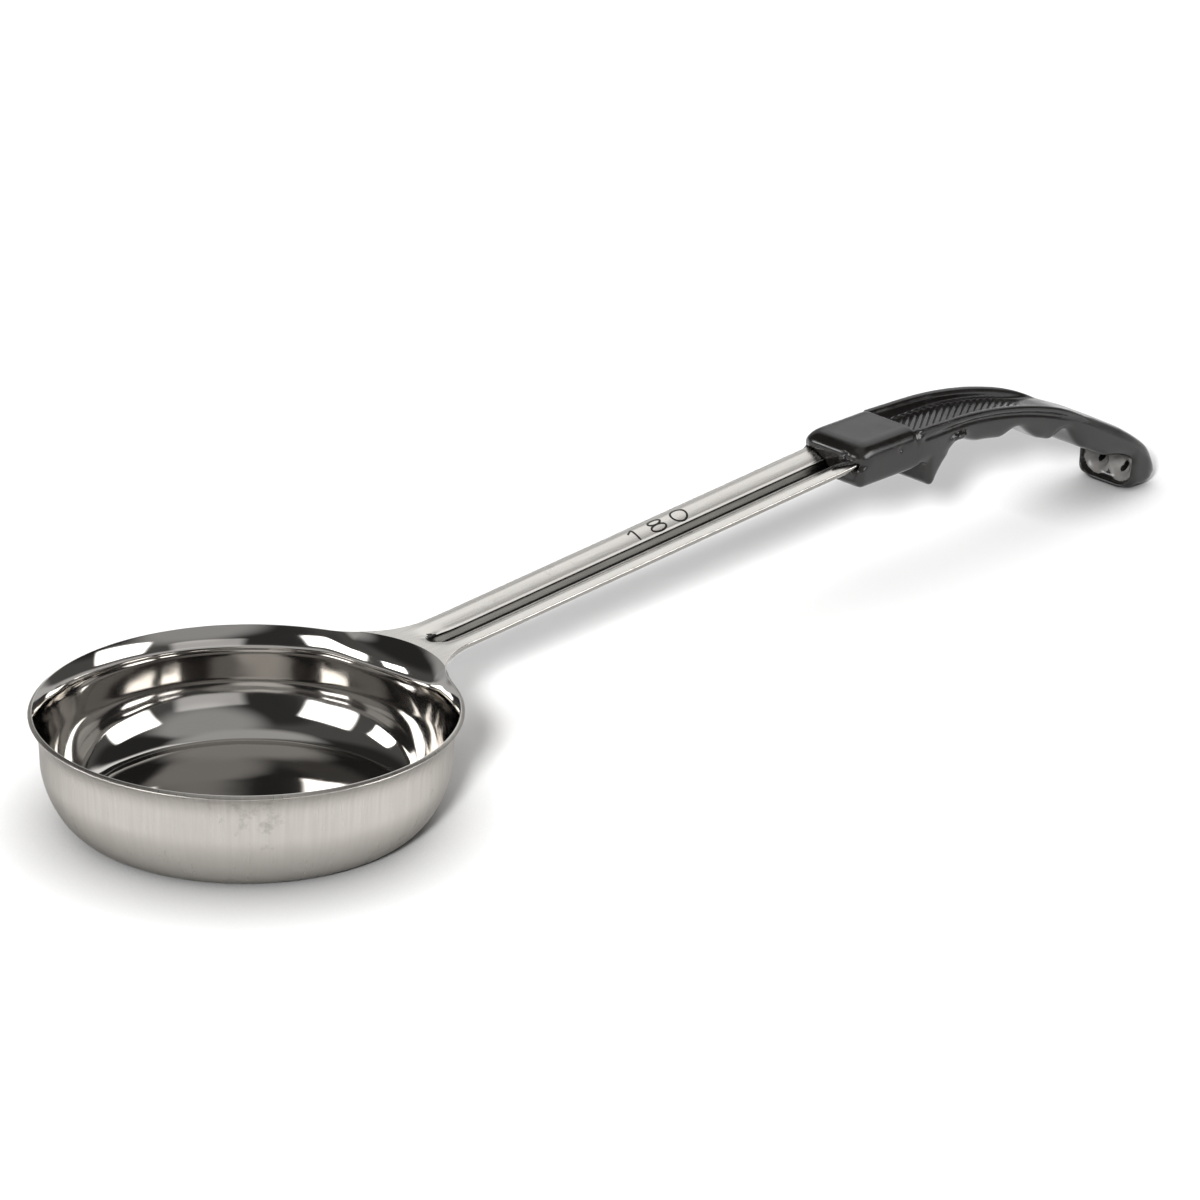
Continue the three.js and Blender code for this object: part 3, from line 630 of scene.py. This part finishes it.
def skin_of(field):
    """A mesh of four-sided faces on the field's zero, one point in each cell that the surface passes."""
    inside = field < 0.0
    count = sum(inside[i:field.shape[0] - 1 + i, j:field.shape[1] - 1 + j, k:field.shape[2] - 1 + k].astype(np.int8)
                for i in (0, 1) for j in (0, 1) for k in (0, 1))
    cells = np.argwhere((count > 0) & (count < 8))
    corners = [np.array(c) for c in np.ndindex(2, 2, 2)]
    values = np.stack([field[tuple((cells + c).T)] for c in corners], 1)
    total, hits = np.zeros((len(cells), 3)), np.zeros(len(cells))
    for a in range(8):
        for b in range(a + 1, 8):
            if np.abs(corners[a] - corners[b]).sum() != 1:
                continue
            fa, fb = values[:, a], values[:, b]
            cut = (fa < 0.0) != (fb < 0.0)
            t = np.where(cut, fa / np.where(cut, fa - fb, 1.0), 0.0)[:, None]
            total += cut[:, None] * (corners[a] + t * (corners[b] - corners[a]))
            hits += cut
    points = cells + total / hits[:, None]
    index = np.full(count.shape, -1)
    index[tuple(cells.T)] = np.arange(len(cells))
    faces = []
    for axis in range(3):
        u, v = [i for i in range(3) if i != axis]
        low = np.take(inside, range(field.shape[axis] - 1), axis)
        high = np.take(inside, range(1, field.shape[axis]), axis)
        edges = np.argwhere(low != high)
        edges = edges[(edges[:, u] > 0) & (edges[:, v] > 0)]
        edges = edges[(edges[:, u] < count.shape[u]) & (edges[:, v] < count.shape[v])]
        step_u, step_v = np.eye(3, dtype=int)[u], np.eye(3, dtype=int)[v]
        around = [edges - step_u - step_v, edges - step_v, edges, edges - step_u]
        quad = np.stack([index[tuple(e.T)] for e in around], 1)
        forward = low[tuple(edges.T)] if axis != 1 else ~low[tuple(edges.T)]
        faces.append(np.where(forward[:, None], quad, quad[:, ::-1]))
    return points, np.concatenate(faces)


def field_at(field, points):
    """The field between its samples, from the eight around each point."""
    base = np.clip(np.floor(points).astype(int), 0, np.array(field.shape) - 2)
    part = points - base
    total = 0.0
    for corner in np.ndindex(2, 2, 2):
        weight = np.prod(np.where(np.array(corner), part, 1.0 - part), 1)
        total = total + weight * field[tuple((base + corner).T)]
    return total


def build_grip():
    """The skin of the field, moved onto its zero in two steps, with the pockets' faces in the second material, whose
    pale grey is painted light.
    """
    field = grip_field()
    points, faces = skin_of(field)
    for _ in range(2):
        slope = np.stack([field_at(field, points + 0.5 * e) - field_at(field, points - 0.5 * e)
                          for e in np.eye(3)], 1)
        points -= slope * (field_at(field, points) / np.maximum((slope ** 2).sum(1), 1e-6))[:, None]
    origin = np.array([grid_x[0], grid_y[0], grid_z[0]])
    mesh = bpy.data.meshes.new("moulded_grip")
    places = origin + points * field_step
    mesh.from_pydata((places * MM).tolist(), [], faces.tolist())
    x, y, z = places[faces].mean(1).T
    _, dish, pockets, slots = toe_hollow(y, z, x - toe_front)
    painted_light_faces = (np.abs(np.minimum(pockets, dish)) < 0.4) & (pockets < 0.8) & (slots > 0.1)
    mesh.polygons.foreach_set("material_index", painted_light_faces.astype(int))
    mesh.polygons.foreach_set("use_smooth", [True] * len(mesh.polygons))
    mesh.update()
    return mesh


grip = bpy.data.objects.new("moulded_grip", build_grip())
bpy.context.scene.collection.objects.link(grip)


def black_plastic(name, dark, pale):
    """Polypropylene from a polished mould: deep black under a soft gloss that breaks up in patches of wear 7 mm
    across, with an orange peel. Real peel is about 0.5 mm: it is drawn 1.6 mm, so that it shows."""
    material, tree, surface = new_material(name)
    surface.inputs["IOR"].default_value = 1.5
    place = add(tree, "ShaderNodeTexCoord").outputs["Object"]
    wear = add(tree, "ShaderNodeTexNoise", {"Vector": place, "Scale": 1 / 0.007, "Detail": 5.0, "Roughness": 0.65})
    tone = add(tree, "ShaderNodeMix", {"Factor": wear.outputs["Fac"], 6: linear(dark), 7: linear(pale)},
               data_type="RGBA")
    tree.links.new(tone.outputs[2], surface.inputs["Base Color"])
    rough = add(tree, "ShaderNodeMapRange", {"Value": wear.outputs["Fac"], "From Min": 0.3, "From Max": 0.7,
                                              "To Min": 0.08, "To Max": 0.28})
    tree.links.new(rough.outputs["Result"], surface.inputs["Roughness"])
    peel = add(tree, "ShaderNodeTexNoise", {"Vector": place, "Scale": 1 / 0.0016, "Detail": 2.0})
    bump = add(tree, "ShaderNodeBump", {"Height": peel.outputs["Fac"], "Strength": 0.12, "Distance": 0.0001})
    tree.links.new(bump.outputs["Normal"], surface.inputs["Normal"])
    return material


# The pockets in the toe get a pale grey colour: painted light, standing for the reflections that light their hollow.
grip.data.materials.append(black_plastic("moulded_black_polypropylene", "#0d0c0b", "#191716"))
grip.data.materials.append(black_plastic("black_polypropylene_painted_light", "#454341", "#767472"))
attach(grip, "root")
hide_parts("grip")

# Studio: a white paper sweep under the ladle, soft boxes left and right of the camera and a dim room, which the
# polished steel shows between them. Directions are seen from the ladle: 0 degrees is towards the camera, and a
# positive turn goes to the picture's right.
floor_reach, floor_drop, shade_reach = 6.0, 0.0002, 0.022
floor_mesh = bpy.data.meshes.new("floor")
floor_mesh.from_pydata([(-floor_reach, -floor_reach, 0.0), (floor_reach, -floor_reach, 0.0),
                        (floor_reach, floor_reach, 0.0), (-floor_reach, floor_reach, 0.0)], [], [(0, 1, 2, 3)])
floor = bpy.data.objects.new("floor", floor_mesh)
floor.location.z = -floor_drop
bpy.context.scene.collection.objects.link(floor)
# Matt white paper, without any gloss, with a painted shadow in its colour that darkens it where the ladle stands
# close over it.
paper, paper_tree, paper_surface = new_material("white_paper_sweep")
near = add(paper_tree, "ShaderNodeAmbientOcclusion", {"Distance": shade_reach}, samples=4)
shade = add(paper_tree, "ShaderNodeMix", {"Factor": near.outputs["AO"], 6: linear("#7c7c7c"), 7: linear("#ececec")},
            data_type="RGBA")
paper_tree.links.new(shade.outputs[2], paper_surface.inputs["Base Color"])
paper_surface.inputs["Roughness"].default_value = 0.9
paper_surface.inputs["Specular IOR Level"].default_value = 0.0
floor_mesh.materials.append(paper)

to_right, away = Vector((0.7108, -0.7034, 0.0)), Vector((0.7034, 0.7108, 0.0))
middle_of_ladle = Vector((0.12, 0.0, 0.02))


def direction(turn, height):
    turn, height = math.radians(turn), math.radians(height)
    level = to_right * math.sin(turn) - away * math.cos(turn)
    return level * math.cos(height) + Vector((0.0, 0.0, math.sin(height)))


def soft_box(name, turn, height, spread, rise, glow, distance=1.6):
    """A light of the given angular size, as bright to look at as glow times white, that fades towards its edges."""
    light = bpy.data.lights.new(name, "AREA")
    light.shape = "RECTANGLE"
    light.size = 2.0 * distance * math.tan(math.radians(spread) / 2.0)
    light.size_y = 2.0 * distance * math.tan(math.radians(rise) / 2.0)
    light.energy = glow * math.pi * light.size * light.size_y
    light.use_nodes = True
    cover = light.node_tree
    place = add(cover, "ShaderNodeNewGeometry").outputs["Parametric"]
    across_box = add(cover, "ShaderNodeSeparateXYZ", {"Vector": place})
    strength = 1.0
    for axis in ("X", "Y"):
        from_middle = add(cover, "ShaderNodeMath", {0: across_box.outputs[axis], 1: 0.5}, operation="SUBTRACT")
        off = add(cover, "ShaderNodeMath", {0: from_middle.outputs[0]}, operation="ABSOLUTE")
        fade = add(cover, "ShaderNodeMapRange", {"Value": off.outputs[0], "From Min": 0.5, "From Max": 0.34},
                   interpolation_type="SMOOTHSTEP")
        faded = add(cover, "ShaderNodeMath", {0: fade.outputs["Result"], 1: strength}, operation="MULTIPLY")
        strength = faded.outputs[0]
    cover.links.new(strength, cover.nodes["Emission"].inputs["Strength"])
    lamp = bpy.data.objects.new(name, light)
    lamp.location = middle_of_ladle + direction(turn, height) * distance
    lamp.rotation_euler = direction(turn, height).to_track_quat("Z", "Y").to_euler()
    bpy.context.scene.collection.objects.link(lamp)
    return lamp


# The boxes are what the steel and the plastic mirror. The key and the fill light the paper and cast the shadow.
for shown in (soft_box("right_soft_box", 74.0, 24.0, 37.0, 25.0, 6.5),
              soft_box("left_soft_box", -50.0, 23.5, 34.0, 25.0, 6.5),
              soft_box("left_strip", -88.0, 21.0, 20.0, 15.0, 8.0),
              soft_box("front_panel", 20.0, 16.0, 44.0, 22.0, 0.55)):
    shown.visible_diffuse = False
for unseen in (soft_box("key_light", -9.0, 27.3, 9.0, 9.0, 300.0, 8.0),
               soft_box("fill_light", 180.0, 65.0, 80.0, 80.0, 0.9, 8.0)):
    unseen.visible_glossy = False

world = bpy.data.worlds.new("studio_room")
bpy.context.scene.world = world
world.use_nodes = True
world_tree = world.node_tree
background = world_tree.nodes["Background"]
look = add(world_tree, "ShaderNodeTexCoord").outputs["Generated"]


def part_of_room(turn, height, low, high):
    """1 round a direction and 0 away from it: it rises while the cosine of the angle goes from low to high."""
    facing = add(world_tree, "ShaderNodeVectorMath", {0: look, 1: direction(turn, height)}, operation="DOT_PRODUCT")
    shown = add(world_tree, "ShaderNodeMapRange", {"Value": facing.outputs["Value"], "From Min": low,
                                                    "From Max": high}, interpolation_type="SMOOTHSTEP")
    return shown.outputs["Result"]


# Parts of the room, each with its direction, its two cosines and its glow. A later one covers those before it.
room_parts = [
    (-12.0, 30.0, 0.84, 0.95, 0.04),   # dark round the camera
    (34.0, 50.0, 0.82, 0.96, 0.42),    # pale screen over the camera's right
    (-140.0, 52.0, 0.8, 0.94, 0.03),   # dark corner behind on the left
    (180.0, 0.0, 0.6, 0.75, 0.45),     # grey wall behind
    (160.0, 42.0, 0.84, 0.95, 1.15),   # bright screen over that wall
    (106.0, 46.0, 0.9, 0.96, 0.03),    # dark gap on the right
    (0.0, 90.0, 0.88, 0.97, 0.5),      # grey ceiling
    (0.0, 90.0, 0.16, 0.1, 0.6),       # pale foot of the walls and all below
]
# What they leave free is dim and a little warm.
room = (0.1, 0.098, 0.096, 1.0)
for turn, height, low, high, glow in room_parts:
    room = add(world_tree, "ShaderNodeMix", {"Factor": part_of_room(turn, height, low, high), 6: room,
                                              7: (glow, glow, glow, 1.0)}, data_type="RGBA").outputs[2]
world_tree.links.new(room, background.inputs["Color"])

# The camera stands where the photograph's did: 2 m off and 23 degrees up, beyond the bowl on the near side.
camera_data = bpy.data.cameras.new("photo_camera")
camera_data.sensor_width = 36.0
camera_data.lens = 270.0
camera = bpy.data.objects.new("photo_camera", camera_data)
right, up, ahead = (0.71077, -0.70340, 0.00682), (0.26868, 0.28039, 0.92153), (0.65008, 0.65313, -0.38827)
position = (-1.27768, -1.39838, 0.85128)
rows = [(right[i], up[i], -ahead[i], position[i]) for i in range(3)]
camera.matrix_world = Matrix(rows + [(0.0, 0.0, 0.0, 1.0)])
bpy.context.scene.collection.objects.link(camera)
bpy.context.scene.camera = camera
bpy.context.scene.view_settings.view_transform = "Standard"
